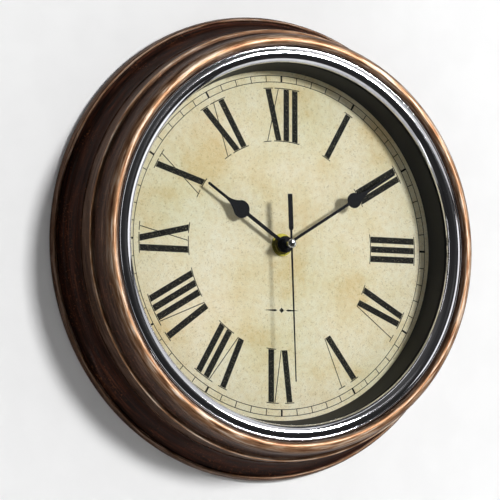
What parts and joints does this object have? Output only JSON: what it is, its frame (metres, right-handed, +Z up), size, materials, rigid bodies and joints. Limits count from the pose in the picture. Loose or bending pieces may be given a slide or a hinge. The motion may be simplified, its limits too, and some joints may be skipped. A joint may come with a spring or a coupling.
{
  "type": "wall clock",
  "caption": "Round wall clock with a stepped bronze case, chrome bezel ring, glass, parchment dial with Roman numerals, three hands and a battery quartz movement.",
  "frame": {"origin": "on the wall plane, where the wall screw bears at the top of the hanger's keyhole slot", "axes": "+Z up, +X to the right seen from the front, -Y out of the dial towards the viewer, +Y into the wall; the hands' axis is 147.8 mm below the origin"},
  "size_m": [0.3312, 0.0524, 0.3312],
  "materials": {
    "bronze": "moulded plastic with antique-bronze lacquer, dark in the hollows and worn to copper on the beads",
    "chrome": "mirror polished",
    "clear_glass": "clear flat glass",
    "black_surround": "matt black",
    "parchment": "matt printed paper with aged stains",
    "hardboard": "raw hardboard",
    "hand_black": "stamped, black lacquer with a satin sheen",
    "zinc_steel": "zinc plated",
    "movement_black": "moulded, fine grain",
    "black_rubber": "matt",
    "brass": "turned, slightly dull",
    "acetal": "moulded white",
    "ferrite": "sintered",
    "iron": "stamped lamination",
    "copper": "enamelled winding",
    "circuit_card": "solder masked",
    "battery_jacket": "plain printed sleeve, no lettering"
  },
  "bodies": {
    "case": {"case_frame": "bronze", "bezel_ring": "chrome", "lens_glass": "clear_glass", "dial_surround": "black_surround", "dial_face": "parchment", "dial_plate": "hardboard", "plate_screw_1": "zinc_steel", "plate_screw_2": "zinc_steel", "plate_screw_3": "zinc_steel", "plate_screw_4": "zinc_steel", "plate_screw_5": "zinc_steel", "plate_screw_6": "zinc_steel", "hanger_plate": "zinc_steel", "hanger_screw_1": "zinc_steel", "hanger_screw_2": "zinc_steel", "movement_case": "movement_black", "movement_cover": "movement_black", "gear_plate": "movement_black", "shaft_gasket": "black_rubber", "fixing_washer": "brass", "fixing_nut": "brass", "stator": "iron", "coil_core": "iron", "coil_winding": "copper", "circuit_board": "circuit_card", "crystal_can": "zinc_steel", "timing_chip": "movement_black", "contact_positive": "zinc_steel", "contact_negative": "zinc_steel"},
    "seconds": {"second_hand": "hand_black", "second_hand_cap": "chrome", "seconds_wheel": "acetal"},
    "intermediate": {"intermediate_wheel": "acetal"},
    "rotor": {"rotor_pinion": "acetal", "rotor_magnet": "ferrite"},
    "third": {"third_wheel": "acetal"},
    "centre": {"centre_wheel": "brass"},
    "minutes": {"minute_hand": "hand_black", "cannon_pinion": "brass", "clutch_spring": "zinc_steel"},
    "hours": {"hour_hand": "hand_black", "hour_wheel": "acetal"},
    "minute_work": {"minute_wheel": "acetal"},
    "knob": {"setting_knob": "movement_black", "setting_pinion": "acetal"},
    "battery": {"battery_cell": "battery_jacket"}
  },
  "joints": [
    {"name": "seconds_turn", "type": "hinge", "parent": "case", "child": "seconds", "pos_m": [0, -0.027, -0.1478], "axis": [0, 1, 0], "continuous": true},
    {"name": "intermediate_turn", "type": "hinge", "parent": "case", "child": "intermediate", "pos_m": [0.00552, -0.013, -0.14317], "axis": [0, 1, 0], "continuous": true},
    {"name": "rotor_turn", "type": "hinge", "parent": "case", "child": "rotor", "pos_m": [0.00902, -0.013, -0.13711], "axis": [0, 1, 0], "continuous": true},
    {"name": "third_turn", "type": "hinge", "parent": "case", "child": "third", "pos_m": [-0.00736, -0.013, -0.14355], "axis": [0, 1, 0], "continuous": true},
    {"name": "centre_turn", "type": "hinge", "parent": "case", "child": "centre", "pos_m": [0, -0.017, -0.1478], "axis": [0, 1, 0], "continuous": true},
    {"name": "minutes_turn", "type": "hinge", "parent": "case", "child": "minutes", "pos_m": [0, -0.027, -0.1478], "axis": [0, 1, 0], "continuous": true},
    {"name": "hours_turn", "type": "hinge", "parent": "case", "child": "hours", "pos_m": [0, -0.027, -0.1478], "axis": [0, 1, 0], "continuous": true},
    {"name": "minute_work_turn", "type": "hinge", "parent": "case", "child": "minute_work", "pos_m": [0.00789, -0.019, -0.15067], "axis": [0, 1, 0], "continuous": true},
    {"name": "setting_knob_turn", "type": "hinge", "parent": "case", "child": "knob", "pos_m": [0.01629, -0.013, -0.15067], "axis": [0, 1, 0], "continuous": true},
    {"name": "battery_slide", "type": "slide", "parent": "case", "child": "battery", "axis": [0, 1, 0], "range_m": [0, 0.02]}
  ],
  "couplings": [
    {"joint": "intermediate_turn", "follows": "seconds_turn", "ratio": -5},
    {"joint": "rotor_turn", "follows": "seconds_turn", "ratio": 30},
    {"joint": "third_turn", "follows": "seconds_turn", "ratio": -0.13333},
    {"joint": "centre_turn", "follows": "seconds_turn", "ratio": 0.016667},
    {"joint": "minute_work_turn", "follows": "minutes_turn", "ratio": -0.33333},
    {"joint": "hours_turn", "follows": "minutes_turn", "ratio": 0.083333},
    {"joint": "setting_knob_turn", "follows": "minutes_turn", "ratio": 1}
  ]
}
